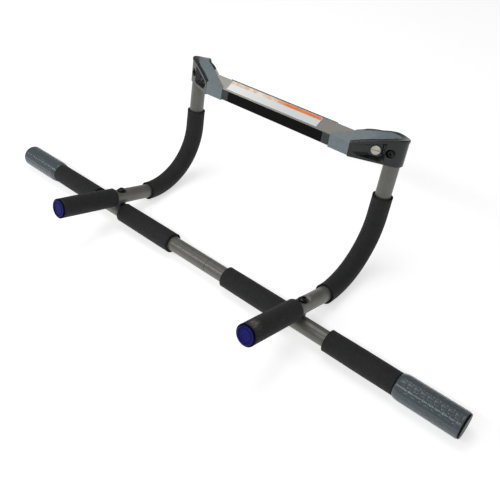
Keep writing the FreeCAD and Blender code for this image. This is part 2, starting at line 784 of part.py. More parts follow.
def panel_space(plan, top, bottom, inset=0.0):
    """The space of the inset panel between two depths below the top. Its back edge runs on
    straight over the crossbar's shoulder, and its tip is rounded off before the nose."""
    outline = extruded(long_outline(plan, -size("rim_width") - inset), 80, 160)
    radius = size("panel_tip")
    centre = at_face(plan, size("panel_end") - radius - inset, size("panel_tip_in"), 0)
    near, far = at_face(plan, -20, -5, 0), at_face(plan, 10, 46, 0)
    corners = [near, tangent(near, centre, radius, -1), tangent(far, centre, radius, 1), far,
               at_face(plan, -30, 60, 0)]
    taper = extruded(polygon(corners), 70, 170)
    tip = Part.makeCylinder(radius, 100, centre + V(0, 0, 70))
    across = (plan["corner"] - plan["front"]).normalize()
    start = [plan["front"] - across * 6, plan["corner"] + across * 12]
    beyond = extruded(polygon([*start, start[1] + X_AXIS * 90, start[0] + X_AXIS * 90]), 75, 165)
    solid = outline.common(taper.fuse(tip)).common(beyond)
    return solid.cut(above_top(plan, top)).common(above_top(plan, bottom))


def bracket_rim(plan):
    """Band round the bracket's top edge that stands a little proud of its walls."""
    square_end = Part.makeBox(100, 100, 100, V(plan["corner"].x - 2, -60, 70))
    rim = extruded(long_outline(plan, size("rim_proud")), 80, 160).common(square_end)
    middle = plan["knee"] + V(0, 0, 120)
    upright = [edge for edge in rim.Edges if edge.BoundBox.ZLength > 79]
    knee = min(upright, key=lambda edge: edge.CenterOfMass.distanceToPoint(middle))
    rim = rim.makeFillet(size("knee_round"), [knee])
    rim = rim.cut(above_top(plan))
    past_end = plan["front"].x
    edges = [edge for edge in rim.Edges if edge.BoundBox.ZMin > 85 and edge.BoundBox.XMax > past_end]
    rim = rim.makeFillet(size("rim_edge"), edges)
    rim = rim.common(above_top(plan, size("rim_drop")))
    return rim.cut(extruded(crossbar_side_wire(plan), 60, 170))


def right_bracket():
    """Housing that joins the crossbar to an arm, with its pocket, seats and hollow."""
    plan = bracket_plan()
    inner_end = [plan["front"], plan["mitre"], plan["shoulder"]]
    walls = extruded(plan_wire(plan, inner_end), size("bracket_low"), 150)
    body = walls.cut(above_top(plan, size("rim_drop - 0.5"))).fuse(bracket_rim(plan))
    body = body.cut(pocket(plan)).cut(bracket_cavity(plan))
    axis = V(size("arm_x"), 0, size("arm_bolt_z"))
    seat = Part.makeCylinder(size("seat_bore / 2"), 30, axis, -Y_AXIS)
    recess = Part.makeCylinder(size("nut_bore / 2"), 30, axis, Y_AXIS)
    bore = Part.makeCylinder(size("tube_od / 2 + fit_gap"), size("arm_rise") + 0.3 - 60,
                             V(size("arm_x"), 0, 60))
    strap_low = size("strap_low") - 0.3
    slot = extruded(strap_outline(0.3), strap_low, strap_low + size("strap_height") + 0.6)
    start = at_face(plan, size("screw_along"), -5, size("screw_z"))
    hole = Part.makeCylinder(size("screw_od / 2 + fit_gap"), 20, start, plan["inward"])
    body = body.fuse(bracket_tongue(plan))
    for tool in (seat, recess, bore, slot, hole, panel_space(plan, -3, size("panel_depth"))):
        body = body.cut(tool)
    return feature("right_bracket", body.removeSplitter())


def right_wall_pad():
    """Soft grey pad: over the crossbar's front and the front of its top, and on as the panel in
    the bracket's top. Its back edge is one straight line."""
    plan = bracket_plan()
    front, corner = plan["front"], plan["corner"]
    start = size("pad_start")
    clear = size("pad_gap")
    wrap = beam_block(front.x + 2, size("pad_thick")).cut(beam_block(front.x + 5, clear))
    back_edge = corner + plan["inward"] * -size("rim_width + pad_gap")
    slope = plan["rearward"].y / plan["rearward"].x
    across = (corner - front).normalize()
    meet = corner - across * size("rim_width + 0.6")
    start_y = back_edge.y + (start - back_edge.x) * slope
    edge = polygon([V(start, front.y - 2, 0), V(start, start_y, 0), meet, front - across * 2])
    under = Part.makeBox(400, 60, 5, V(0, -size("beam_front") + size("pad_under"),
                                       size("beam_low") - 4))
    wrap = wrap.common(extruded(edge, 80, 150)).cut(under)
    panel = panel_space(plan, 0, size("panel_depth") - clear, clear)
    pad = wrap.fuse(panel)
    return feature("right_wall_pad", pad.removeSplitter())


def face_place(plan, along, inward, z):
    """A placement whose X axis points into the bracket, square to its front face."""
    turn_in = math.degrees(math.atan2(plan["inward"].y, plan["inward"].x))
    point = at_face(plan, along, inward, z)
    return HEAD * FreeCAD.Placement(point, FreeCAD.Rotation(Z_AXIS, turn_in))


def right_strap_fastener():
    """Slotted screw through the pocket's floor and the strap, and its nut behind."""
    plan = bracket_plan()
    strap_back = (V(plan["front"].x - 4.0, -size("strap_y"), 0) - plan["front"]).dot(plan["inward"])
    strap_back += size("strap_thick / 2")
    head, floor = size("screw_head"), size("pocket_depth")
    reach = strap_back - floor + size("thin_nut") + 1.0
    label = "right_strap_screw"
    head_radius, radius = "screw_head_od / 2", "screw_od / 2"
    body = turned(label + "_turned", [
        ("0", "0"), ("0", head_radius + " - 0.4"), ("0.4", head_radius),
        ("screw_head", head_radius), ("screw_head", radius),
        ("screw_head + %.3f" % reach, radius), ("screw_head + %.3f" % reach, "0")])
    slot = doc.addObject("Part::Box", label + "_slot")
    slot.setExpression("Length", bound("slot_depth"))
    slot.setExpression("Width", bound("screw_head_od + 2"))
    slot.setExpression("Height", bound("slot_width"))
    slot.Placement = shift(0, -size("screw_head_od / 2 + 1"), -size("slot_width / 2"))
    z = size("screw_z")
    screw = keep(cut(label, body, slot), label,
                 face_place(plan, size("screw_along"), floor - head, z))
    nut = keep(thin_nut("right_strap_nut"), "right_strap_nut",
               face_place(plan, size("screw_along"), strap_back + 0.05, z))
    return screw, nut


def bracket_fasteners(side_name, side):
    """Low-head bolt through the bracket and the arm's top end, with a washer and thin nut."""
    x, z = side * size("arm_x"), size("arm_bolt_z")
    radius = size("tube_od / 2") + 0.1
    label = side_name + "_bracket_bolt"
    reach = "tube_od + 0.2 + thin_washer + thin_nut + 0.6"
    bolt = button_bolt(label, "low_head_od", "low_head_height", reach)
    facing_back = turn(Z_AXIS, 90)
    keep(bolt, label, HEAD * shift(x, -radius - size("low_head_height"), z) * facing_back)
    label = side_name + "_bracket_washer"
    keep(washer(label, "washer_od", "thin_washer"), label, HEAD * shift(x, radius, z) * facing_back)
    label = side_name + "_bracket_nut"
    nut_y = radius + size("thin_washer")
    keep(thin_nut(label), label, HEAD * shift(x, nut_y, z) * facing_back)


# ---------------------------------------------------------------- building and writing

def build():
    bar_tubes()
    for side_name, side in SIDES.items():
        arm_tube(side_name, side)
        crossing_hardware(side_name, side)
        bracket_fasteners(side_name, side)
    foam_grips()
    arm_sleeves()
    bumpers()
    bar_plugs()
    handle_caps()
    crossbar_shell()
    crossbar_strap()
    pieces = [right_bracket(), right_wall_pad(), *right_strap_fastener()]
    for piece in pieces:
        mirrored(piece, piece.Label.replace("right", "left"))
    doc.recompute()


def centre_on_floor():
    """Move every sub-part so that the origin is the middle of the whole box's floor. Mirrored
    sub-parts follow their sources."""
    box = FreeCAD.BoundBox()
    for obj in subparts:
        box.add(obj.Shape.optimalBoundingBox(False))
    floor = size("bumper_od / 2")
    move = shift(-box.Center.x, -box.Center.y, floor)
    for obj in subparts:
        if obj.TypeId != "Part::Mirroring":
            obj.Placement = move * obj.Placement
    doc.recompute()


def check():
    for obj in doc.Objects:
        bad = [state for state in obj.State if state in ("Invalid", "Error")]
        if bad:
            raise RuntimeError("%s: %s" % (obj.Name, bad))
    for obj in subparts:
        shape = obj.Shape
        if shape.isNull() or not shape.isValid() or len(shape.Solids) != 1:
            raise RuntimeError("%s: not one valid solid" % obj.Label)


def write():
    os.makedirs("parts", exist_ok=True)
    for obj in subparts:
        obj.Shape.exportStep("parts/%s.step" % obj.Label)
    print("wrote %d sub-parts" % len(subparts))


fill_sheet()
REST = turn(X_AXIS, -tilt_at_rest())
HEAD = REST * shift(0, *bend_end()) * turn(X_AXIS, size("arm_turn - 90"))
build()
centre_on_floor()
check()
write()
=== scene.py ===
"""Looks of the pull-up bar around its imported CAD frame. Lengths are in millimetres until a mesh is
placed, and the placing turns them into the row's metres."""

import json
import math

import bpy
import numpy as np
from mathutils import Matrix, Vector, noise
from mathutils.bvhtree import BVHTree


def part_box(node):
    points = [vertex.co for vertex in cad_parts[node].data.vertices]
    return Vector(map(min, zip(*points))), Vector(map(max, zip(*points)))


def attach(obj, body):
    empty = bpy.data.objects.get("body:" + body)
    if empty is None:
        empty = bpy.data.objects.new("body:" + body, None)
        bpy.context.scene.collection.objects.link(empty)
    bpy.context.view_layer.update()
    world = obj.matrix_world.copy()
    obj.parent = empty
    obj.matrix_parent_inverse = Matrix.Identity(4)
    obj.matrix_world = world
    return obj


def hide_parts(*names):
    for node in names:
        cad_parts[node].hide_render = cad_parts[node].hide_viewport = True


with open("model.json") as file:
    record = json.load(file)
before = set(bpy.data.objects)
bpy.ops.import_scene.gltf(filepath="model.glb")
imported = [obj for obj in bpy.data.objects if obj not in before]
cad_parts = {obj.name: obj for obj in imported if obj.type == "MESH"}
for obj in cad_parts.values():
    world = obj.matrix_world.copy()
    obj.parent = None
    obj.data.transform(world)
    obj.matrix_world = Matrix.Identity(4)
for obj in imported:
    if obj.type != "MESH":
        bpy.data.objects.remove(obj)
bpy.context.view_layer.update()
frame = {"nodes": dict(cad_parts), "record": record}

SIDES = {"left": -1, "right": 1}

# ---------------------------------------------------------------- sizes, as in the CAD

TUBE_R = 12.7
GAP = 0.15  # between a tube and the bore round it
BUMPER_R = 19.7
BUMPER = (374.3, 470.0)  # its two ends along the long bar, as for the grips
BUMPER_FLARE = 11.0
GRIP_R = 17.55
GRIPS = {"inner": (62.0, 188.5), "outer": (259.7, 374.0)}
HANDLE_R = 16.75
HANDLE = (18.5, 129.8)  # its back and front, ahead of the long bar's axis
SLEEVE_R = 16.4
SLEEVE_START, SLEEVE_RISE = 5.2, 33.3
ARM_X, ARM_LIFT, ARM_STRAIGHT = 202.8, 26.4, 57.4
BEND_R, BEND = 104.4, math.radians(97.2)
BEAM_FRONT, BEAM_BACK = -40.3, -20.0
BEAM_LOW, BEAM_FRONT_TOP, BEAM_BACK_TOP = 90.3, 108.9, 123.2

# ---------------------------------------------------------------- frames

bar_low, bar_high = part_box("bar_neck_tube")
BAR_Y = (bar_low.y + bar_high.y) / 2
BAR_Z = (bar_low.z + bar_high.z) / 2


def tilt_at_rest():
    """The angle between the arms' front run and the floor, bumpers and sleeves both touching it."""
    up = ARM_LIFT + BEND_R
    drop = BEND_R + SLEEVE_R - BUMPER_R
    return math.atan2(up, ARM_STRAIGHT) - math.asin(drop / math.hypot(ARM_STRAIGHT, up))


TILT = tilt_at_rest()
REST = (Matrix.Translation((0, BAR_Y, BAR_Z)) @ Matrix.Rotation(-TILT, 4, "X")
        @ Matrix.Scale(0.001, 4))
BEND_END = (ARM_STRAIGHT + BEND_R * math.sin(BEND), ARM_LIFT + BEND_R * (1 - math.cos(BEND)))
HEAD = (REST @ Matrix.Translation((0, *BEND_END))
        @ Matrix.Rotation(BEND - math.pi / 2, 4, "X"))


# ---------------------------------------------------------------- nodes and materials

class Shader:
    """A short hand for building one node material."""

    def __init__(self, name):
        self.material = bpy.data.materials.new(name)
        self.material.use_nodes = True
        self.tree = self.material.node_tree
        self.bsdf = self.tree.nodes["Principled BSDF"]
        self.coords = self.tree.nodes.new("ShaderNodeTexCoord").outputs["Object"]

    def node(self, kind, **sockets):
        made = self.tree.nodes.new(kind)
        for key, value in sockets.items():
            socket = made.inputs[key.replace("_", " ")]
            if isinstance(value, bpy.types.NodeSocket):
                self.tree.links.new(value, socket)
            else:
                socket.default_value = value
        return made

    def noise(self, scale, detail=3.0, roughness=0.55):
        made = self.node("ShaderNodeTexNoise", Vector=self.coords, Scale=scale, Detail=detail,
                         Roughness=roughness)
        return made.outputs["Fac"]

    def remap(self, value, low, high, source=(0.3, 0.7)):
        """A value stretched from its source range to low and high."""
        made = self.node("ShaderNodeMapRange", Value=value, From_Min=source[0],
                         From_Max=source[1], To_Min=low, To_Max=high)
        return made.outputs[0]

    def along_x(self, start, end):
        """A share that grows from 0 to 1 between two places on the row's X axis, in metres."""
        place = self.node("ShaderNodeSeparateXYZ", Vector=self.coords)
        return self.remap(place.outputs["X"], 0.0, 1.0, (start, end))

    def blend(self, share, first, second):
        """A colour between two others; each is a socket or plain numbers, as the share is."""
        made = self.tree.nodes.new("ShaderNodeMix")
        made.data_type = "RGBA"
        for index, value in ((0, share), (6, first), (7, second)):
            if isinstance(value, bpy.types.NodeSocket):
                self.tree.links.new(value, made.inputs[index])
            elif index:
                made.inputs[index].default_value = (*value, 1.0)
            else:
                made.inputs[index].default_value = value
        return made.outputs[2]

    def attribute(self, name):
        made = self.tree.nodes.new("ShaderNodeAttribute")
        made.attribute_name = name
        return made.outputs["Fac"]

    def add(self, first, second, weight):
        """The first socket plus the second one times the weight."""
        made = self.tree.nodes.new("ShaderNodeMath")
        made.operation = "MULTIPLY_ADD"
        self.tree.links.new(second, made.inputs[0])
        made.inputs[1].default_value = weight
        self.tree.links.new(first, made.inputs[2])
        return made.outputs[0]

    def feed(self, socket, value):
        if isinstance(value, bpy.types.NodeSocket):
            self.tree.links.new(value, self.bsdf.inputs[socket])
        else:
            self.bsdf.inputs[socket].default_value = value

    def bump(self, height, distance, strength=1.0):
        made = self.node("ShaderNodeBump", Height=height, Distance=distance, Strength=strength)
        self.feed("Normal", made.outputs[0])


def two_tone(shader, low, high, scale, detail=4.0):
    """Base colour that drifts between two tones."""
    share = shader.remap(shader.noise(scale, detail), 0.0, 1.0)
    return shader.blend(share, low, high)


def coated_steel():
    s = Shader("coated_steel")
    s.feed("Base Color", two_tone(s, (0.134, 0.132, 0.118), (0.160, 0.158, 0.142), 60))
    s.feed("Metallic", 0.35)
    s.feed("Roughness", s.remap(s.noise(140), 0.34, 0.44))
    s.bump(s.add(s.noise(900, 2.0), s.noise(2600, 2.0), 0.5), 0.00004)
    return s.material


def foam():
    s = Shader("foam")
    colour = two_tone(s, (0.0092, 0.0104, 0.0102), (0.0146, 0.0154, 0.0148), 45)
    pores = s.remap(s.noise(1500, 2.0), 0.0, 1.0, (0.45, 0.62))
    colour = s.blend(pores, colour, (0.021, 0.021, 0.021))
    colour = s.blend(s.attribute("scuff"), colour, (0.20, 0.19, 0.16))
    s.feed("Base Color", colour)
    s.feed("Roughness", s.remap(s.noise(200), 0.72, 0.86))
    s.feed("Specular IOR Level", 0.35)
    s.bump(s.add(s.noise(1300, 3.0, 0.7), s.noise(260, 2.0), 0.8), 0.00022)
    return s.material


def moulded_rubber(name, low, high, roughness, grain):
    s = Shader(name)
    s.feed("Base Color", two_tone(s, low, high, 120))
    s.feed("Roughness", s.remap(s.noise(260), *roughness))
    s.bump(s.add(s.noise(420, 3.0), s.noise(1800, 2.0), 0.35), grain)
    return s.material


def moulded_plastic(name, low, high, roughness, grain=0.00005, specular=0.5):
    s = Shader(name)
    s.feed("Base Color", two_tone(s, low, high, 90))
    s.feed("Roughness", s.remap(s.noise(300), *roughness))
    s.feed("Specular IOR Level", specular)
    s.bump(s.add(s.noise(1500, 2.0), s.noise(350, 2.0), 0.4), grain)
    return s.material


def beam_plastic_and_sheen():
    """The crossbar's warm grey moulding, with painted sheen in its pale beige tone: paler at the
    left, darker towards its right end.
    """
    s = Shader("beam_plastic_and_sheen")
    # painted sheen: the top's pale beige tone, fading darker from left to right along X
    light = two_tone(s, (0.400, 0.378, 0.342), (0.460, 0.436, 0.398), 90)
    s.feed("Base Color", s.blend(s.along_x(-0.09, 0.08), light, (0.225, 0.208, 0.186)))
    s.feed("Roughness", s.remap(s.noise(300), 0.32, 0.42))
    s.bump(s.add(s.noise(1500, 2.0), s.noise(350, 2.0), 0.4), 0.00005)
    return s.material


def label_card_and_glare():
    """Blank printed card with a painted glare highlight: white at the left, paler grey towards the
    right.
    """
    s = Shader("label_card_and_glare")
    # painted glare highlight: white at the left, fading to grey towards the right
    colour = s.blend(s.along_x(-0.09, 0.03), (0.97, 0.97, 0.95), (0.72, 0.755, 0.765))
    grain = s.remap(s.noise(520, 3.0), 0.0, 0.35)
    s.feed("Base Color", s.blend(grain, colour, (0.80, 0.82, 0.83)))
    s.feed("Roughness", s.remap(s.noise(300), 0.42, 0.52))
    s.bump(s.noise(1800, 2.0), 0.00001)
    return s.material


def stripe_ink_and_glare():
    """The card's orange stripe, with a painted glare highlight that turns its left part pale."""
    s = Shader("stripe_ink_and_glare")
    # painted glare highlight: pale patches at the left, vivid orange towards the right
    glare_patches = s.remap(s.noise(90, 4.0, 0.6), 0.0, 1.0, (0.42, 0.62))
    pale = s.blend(glare_patches, (0.93, 0.86, 0.78), (0.88, 0.56, 0.34))
    vivid = two_tone(s, (0.86, 0.175, 0.006), (0.92, 0.225, 0.010), 60)
    s.feed("Base Color", s.blend(s.along_x(-0.02, 0.014), pale, vivid))
    s.feed("Roughness", s.remap(s.noise(300), 0.38, 0.48))
    s.bump(s.noise(1800, 2.0), 0.00001)
    return s.material


def bare_metal(name, low, high, roughness):
    s = Shader(name)
    s.feed("Base Color", two_tone(s, low, high, 220))
    s.feed("Metallic", 1.0)
    s.feed("Roughness", s.remap(s.noise(500), *roughness))
    s.bump(s.noise(2200, 2.0), 0.00002)
    return s.material


MATERIALS = {
    "steel_tube": coated_steel(),
    "foam": foam(),
    "bumper_rubber": moulded_rubber(
        "bumper_rubber", (0.058, 0.076, 0.088), (0.074, 0.094, 0.106), (0.23, 0.30), 0.00002),
    "pad_rubber": moulded_rubber(
        "pad_rubber", (0.148, 0.186, 0.198), (0.178, 0.220, 0.232), (0.40, 0.50), 0.00005),
    "black_plastic": moulded_plastic(
        "black_plastic", (0.0105, 0.0125, 0.0130), (0.0155, 0.0175, 0.0180), (0.20, 0.28),
        specular=0.45),
    "plug_plastic": moulded_plastic(
        "plug_plastic", (0.0050, 0.0054, 0.0056), (0.0080, 0.0084, 0.0086), (0.30, 0.40),
        specular=0.04),
    "blue_plastic": moulded_plastic(
        "blue_plastic", (0.0085, 0.0080, 0.105), (0.0125, 0.0120, 0.150), (0.18, 0.26),
        grain=0.00003, specular=0.06),
    "grey_plastic": beam_plastic_and_sheen(),
    "band_plastic": moulded_plastic(
        "band_plastic", (0.0045, 0.0045, 0.0047), (0.0070, 0.0070, 0.0073), (0.14, 0.22),
        grain=0.00002, specular=0.04),
    # dark grey: the top's back bead, and the front-face end plates, where it is the moulding's own
    # grey with painted shade
    "dark_plastic_and_shade": moulded_plastic(
        "dark_plastic_and_shade", (0.036, 0.040, 0.042), (0.050, 0.054, 0.056), (0.34, 0.44),
        specular=0.25),
    "label_card_and_glare": label_card_and_glare(),
    "stripe_ink_and_glare": stripe_ink_and_glare(),
    "saddle_plastic": moulded_plastic(
        "saddle_plastic", (0.022, 0.022, 0.060), (0.032, 0.032, 0.085), (0.35, 0.45)),
    "strap_steel": bare_metal("strap_steel", (0.40, 0.40, 0.41), (0.50, 0.50, 0.50), (0.35, 0.5)),
    "black_steel": bare_metal("black_steel", (0.020, 0.020, 0.021), (0.034, 0.034, 0.035),
                              (0.26, 0.38)),
    "zinc_steel": bare_metal("zinc_steel", (0.46, 0.44, 0.37), (0.58, 0.56, 0.48), (0.30, 0.42)),
}


# ---------------------------------------------------------------- mesh helpers

def end_faces(rows, columns):
    """The two faces that close the first and last rings of an open grid."""
    last = range(columns * (rows - 1), columns * rows)
    return [tuple(reversed(range(columns))), tuple(last)]


def add_piece(name, mesh, slot_name, smooth=True, material=None):
    """A piece from a mesh in the row's frame, riding on the root body."""
    mesh.materials.clear()
    mesh.materials.append(material or MATERIALS[slot_name])
    mesh.polygons.foreach_set("use_smooth", [smooth] * len(mesh.polygons))
    piece = bpy.data.objects.new(name, mesh)
    bpy.context.scene.collection.objects.link(piece)
    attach(piece, "root")
    return piece


def make_mesh(name, points, faces, slot_name, matrix=REST, smooth=True, material=None):
    """A piece from points in millimetres, placed by the matrix."""
    mesh = bpy.data.meshes.new(name)
    mesh.from_pydata([tuple(matrix @ Vector(p)) for p in points], [], faces)
    mesh.validate()
    return add_piece(name, mesh, slot_name, smooth, material)


def ring_faces(rows, columns, closed=True):
    """Quads of a grid whose columns close round; the rows close too if asked."""
    faces = []
    for i in range(rows if closed else rows - 1):
        j = (i + 1) % rows
        for k in range(columns):
            n = (k + 1) % columns
            faces.append((i * columns + k, i * columns + n, j * columns + n, j * columns + k))
    return faces


def straight(start, direction, side):
    """A line from a start point. At a distance it gives its point and two cross directions."""
    return lambda s: (start + direction * s, side, direction.cross(side))


def arm_line(x):
    """The centre line of an arm's sleeve, measured along the tube from the sleeve's start."""
    bend_length = BEND_R * BEND

    def at(s):
        run = s + SLEEVE_START
        angle = min(max(run / BEND_R, 0.0), BEND)
        y = ARM_STRAIGHT + BEND_R * math.sin(angle)
        z = ARM_LIFT + BEND_R * (1 - math.cos(angle))
        heading = Vector((0, math.cos(angle), math.sin(angle)))
        extra = run - min(max(run, 0.0), bend_length)
        side = Vector((1, 0, 0))
        return Vector((x, y, z)) + heading * extra, side, heading.cross(side)
    return at


END_STEPS = 6
BORE_STEPS = 8
BORE_CHAMFER = 0.4
MID_BULGE = 0.25


def sleeve_profile(length, outer, inner, grooves, steps):
    """(distance, radius, outside) round a sleeve's wall, out along its skin and back in its bore.
    Each end face has a groove: it runs in at 45 degrees from a sharp outer lip, then back out."""
    first, last = grooves
    profile = []
    for k in range(END_STEPS + 1):
        a = math.pi / 2 * k / END_STEPS
        radius = outer - first * (1 - math.cos(math.pi / 2 - a))
        profile.append((first * (1 - math.sin(a)), radius, 1))
    for k in range(1, steps):
        t = k / steps
        s = first + (length - first - last) * t
        profile.append((s, outer + MID_BULGE * (math.sin(math.pi * t) ** 0.5 - 1.0), 1))
    for k in range(END_STEPS + 1):
        a = math.pi / 2 * k / END_STEPS
        radius = outer - last * (1 - math.sin(math.pi / 2 - a))
        profile.append((length - last * (1 - math.cos(a)), radius, 1))
    profile.append((length, inner + BORE_CHAMFER, 0))
    profile.append((length - BORE_CHAMFER, inner, 0))
    for k in range(1, BORE_STEPS):
        profile.append((length * (1 - k / BORE_STEPS), inner, 0))
    profile.append((BORE_CHAMFER, inner, 0))
    profile.append((0.0, inner + BORE_CHAMFER, 0))
    return profile


def skin_wave(centre, radial, seed):
    """How far the foam's skin stands out at a place: a slow swell and finer dimples."""
    swell = noise.noise(centre * 0.03 + radial * 0.7 + Vector((seed, 0, 0)))
    dimples = noise.noise(centre * 0.25 + radial * 3)
    return 0.14 * swell + 0.05 * dimples


FOAM_COLUMNS = 112
FOAM_INSET = 0.18


def foam_piece(name, node, line, length, outer, grooves, seed, steps=90, scuff=None):
    """A soft sleeve swept along a line, with a slightly uneven skin."""
    profile = sleeve_profile(length, outer - FOAM_INSET, TUBE_R + GAP, grooves, steps)
    points, marks = [], []
    for s, r, outside in profile:
        centre, side, up = line(s)
        for k in range(FOAM_COLUMNS):
            a = 2 * math.pi * k / FOAM_COLUMNS
            radial = side * math.cos(a) + up * math.sin(a)
            wave = skin_wave(centre, radial, seed) if outside else 0.0
            points.append(centre + radial * (r + wave))
            marks.append(scuff(points[-1]) if scuff and outside else 0.0)
    piece = make_mesh(name, points, ring_faces(len(profile), FOAM_COLUMNS), "foam")
    layer = piece.data.attributes.new("scuff", "FLOAT", "POINT")
    layer.data.foreach_set("value", marks)
    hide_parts(node)
    return piece


# ---------------------------------------------------------------- foam

GRIP_GROOVES = (2.2, 2.2)
HANDLE_GROOVES = (4.0, 5.4)
SLEEVE_GROOVES = (3.0, 3.0)
RUBBED_X, RUBBED_Y, RUBBED_SIZE = ARM_X + 2, -119, 7


def rubbed(point):
    """How much the foam is rubbed pale on top, near the handle's front end."""
    away_x, away_y = (point.x - RUBBED_X) / RUBBED_SIZE, (point.y - RUBBED_Y) / RUBBED_SIZE
    patch = math.exp(-away_y ** 2 - away_x ** 2)
    on_top = max(0.0, (point.z - ARM_LIFT) / HANDLE_R)
    speckle = 0.5 + noise.noise(point * 0.45)
    return min(1.0, max(0.0, 1.1 * patch * on_top * speckle))


def build_foam():
    scuffs = {"left": None, "right": rubbed}
    x_axis, y_axis, z_axis = Vector((1, 0, 0)), Vector((0, 1, 0)), Vector((0, 0, 1))
    for side_name, side in SIDES.items():
        for part, (start, end) in GRIPS.items():
            line = straight(x_axis * (side * start), x_axis * side, z_axis)
            foam_piece("%s_%s_bar_foam" % (side_name, part), "%s_%s_bar_grip" % (side_name, part),
                       line, end - start, GRIP_R, GRIP_GROOVES, seed=side * 3 + start)
        back, front = HANDLE
        line = straight(Vector((side * ARM_X, -back, ARM_LIFT)), -y_axis, z_axis)
        foam_piece(side_name + "_handle_foam", side_name + "_handle_grip", line, front - back,
                   HANDLE_R, HANDLE_GROOVES, seed=side * 7, scuff=scuffs[side_name])
        length = BEND_R * BEND - SLEEVE_START + SLEEVE_RISE
        foam_piece(side_name + "_arm_foam", side_name + "_arm_sleeve", arm_line(side * ARM_X),
                   length, SLEEVE_R, SLEEVE_GROOVES, seed=side * 11, steps=150)


# ---------------------------------------------------------------- bumpers

TREAD_PITCH = 9.7
TREAD_ROWS = 16
TREAD_TURN = 0.13
TREAD_DEPTH = 0.30
TREAD_SWAY = 0.09
BUMPER_COLUMNS = 336
BUMPER_ROWS = 210
FLARE_ROWS = 14


def tread(s, a):
    """Depth of the bumper's surface below its scales' tops, at a distance and an angle."""
    wave = TREAD_SWAY * math.sin(2 * math.pi * s / TREAD_PITCH)
    row = a / (2 * math.pi) * TREAD_ROWS - TREAD_TURN
    row += wave * math.cos(math.pi * math.floor(row + 0.5))
    index = math.floor(row)
    across = 2 * (row - index) - 1
    along = s / TREAD_PITCH + (0.5 if index % 2 else 0.0)
    along = 2 * (along - math.floor(along)) - 1
    edge = abs(across) ** 4 + abs(along) ** 6
    return TREAD_DEPTH * min(edge, 1.0)


def bumper_profile(length):
    """(distance, radius, share of tread) round the bumper's wall."""
    inner = TUBE_R + GAP
    chamfer, lip, tip_length, fade = 0.3, 0.5, 1.3, 2.5
    start = [(0.0, inner + chamfer, 0), (0.0, GRIP_R - 0.9, 0), (0.15, GRIP_R - 0.35, 0),
             (lip, GRIP_R + 0.05, 0)]
    flare = []
    for k in range(1, FLARE_ROWS + 1):
        t = k / FLARE_ROWS
        radius = GRIP_R + (BUMPER_R - GRIP_R) * math.sin(math.pi / 2 * t) ** 0.9
        flare.append((lip + (BUMPER_FLARE - lip) * t, radius, t ** 2))
    end = length - tip_length
    rows = [BUMPER_FLARE + (end - BUMPER_FLARE) * k / BUMPER_ROWS for k in range(1, BUMPER_ROWS)]
    body = [(s, BUMPER_R, min(1.0, (end - s) / fade)) for s in rows]
    tip = [(end, BUMPER_R, 0), (length - 0.6, BUMPER_R - 0.12, 0),
           (length - 0.15, BUMPER_R - 0.5, 0), (length, BUMPER_R - 1.1, 0),
           (length, inner + chamfer, 0)]
    bore = [(length - chamfer, inner, 0), (length / 2, inner, 0), (chamfer, inner, 0)]
    return start + flare + body + tip + bore


def build_bumpers():
    start, end = BUMPER
    profile = bumper_profile(end - start)
    for side_name, side in SIDES.items():
        points = []
        for s, r, share in profile:
            for k in range(BUMPER_COLUMNS):
                a = 2 * math.pi * k / BUMPER_COLUMNS
                radius = r - (tread(s, a) * share if share else 0.0)
                points.append((side * (start + s), radius * math.cos(a), radius * math.sin(a)))
        faces = ring_faces(len(profile), BUMPER_COLUMNS)
        piece = make_mesh(side_name + "_bumper_rubber", points, faces, "bumper_rubber")
        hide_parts(side_name + "_bumper")


# ---------------------------------------------------------------- wall pads

PAD_VOXEL = 0.00045  # metres, as in the CAD nodes' meshes
PAD_PASSES = 5


def soften(source, name):
    """A remeshed, smoothed copy of a node's mesh, in the row's frame and in metres."""
    twin = bpy.data.objects.new(name + "_raw", source.data.copy())
    twin.matrix_world = source.matrix_world
    bpy.context.scene.collection.objects.link(twin)
    remesh = twin.modifiers.new("remesh", "REMESH")
    remesh.mode, remesh.voxel_size = "VOXEL", PAD_VOXEL
    smooth = twin.modifiers.new("smooth", "SMOOTH")
    smooth.factor, smooth.iterations = 0.5, PAD_PASSES
    bpy.context.view_layer.update()
    evaluated = twin.evaluated_get(bpy.context.evaluated_depsgraph_get())
    mesh = bpy.data.meshes.new_from_object(evaluated)
    mesh.transform(twin.matrix_world)
    mesh.name = name
    bpy.data.objects.remove(twin)
    return mesh


def build_pads():
    for side_name in SIDES:
        node = side_name + "_wall_pad"
        mesh = soften(frame["nodes"][node], side_name + "_pad_skin")
        piece = add_piece(side_name + "_pad_skin", mesh, "pad_rubber")
        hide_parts(node)


# The bracket's front face from above: its front corner, the way along it and the way behind it.
FACE_CORNER = Vector((147.0, -41.6))
FACE_ALONG, FACE_INWARD = Vector((0.907, 0.421)), Vector((-0.421, 0.907))
# The two edges of the panel's rounded end, as points (along the face, behind the face).
TIP_NEAR = ((30.0, 5.2), (42.0, 7.0), (56.0, 8.6), (66.0, 8.8), (70.0, 10.2), (71.8, 12.4),
            (72.6, 14.3))
TIP_FAR = ((30.0, 19.2), (43.0, 19.9), (56.0, 23.8), (62.0, 23.0), (68.0, 20.2), (71.6, 16.8),
           (72.6, 14.9))
TIP_PROUD, TIP_SUNK = 0.2, 0.3
TIP_ROWS, TIP_COLUMNS = 60, 14
GAP_REACH = 0.4  # reaches across the gap between the bracket and the pad
ABOVE_HEAD = 200


def surface_tree(obj):
    """A CAD node's surface, ready for ray casts in the row's frame."""
    points = [obj.matrix_world @ vertex.co for vertex in obj.data.vertices]
    return BVHTree.FromPolygons(points, [tuple(face.vertices) for face in obj.data.polygons])


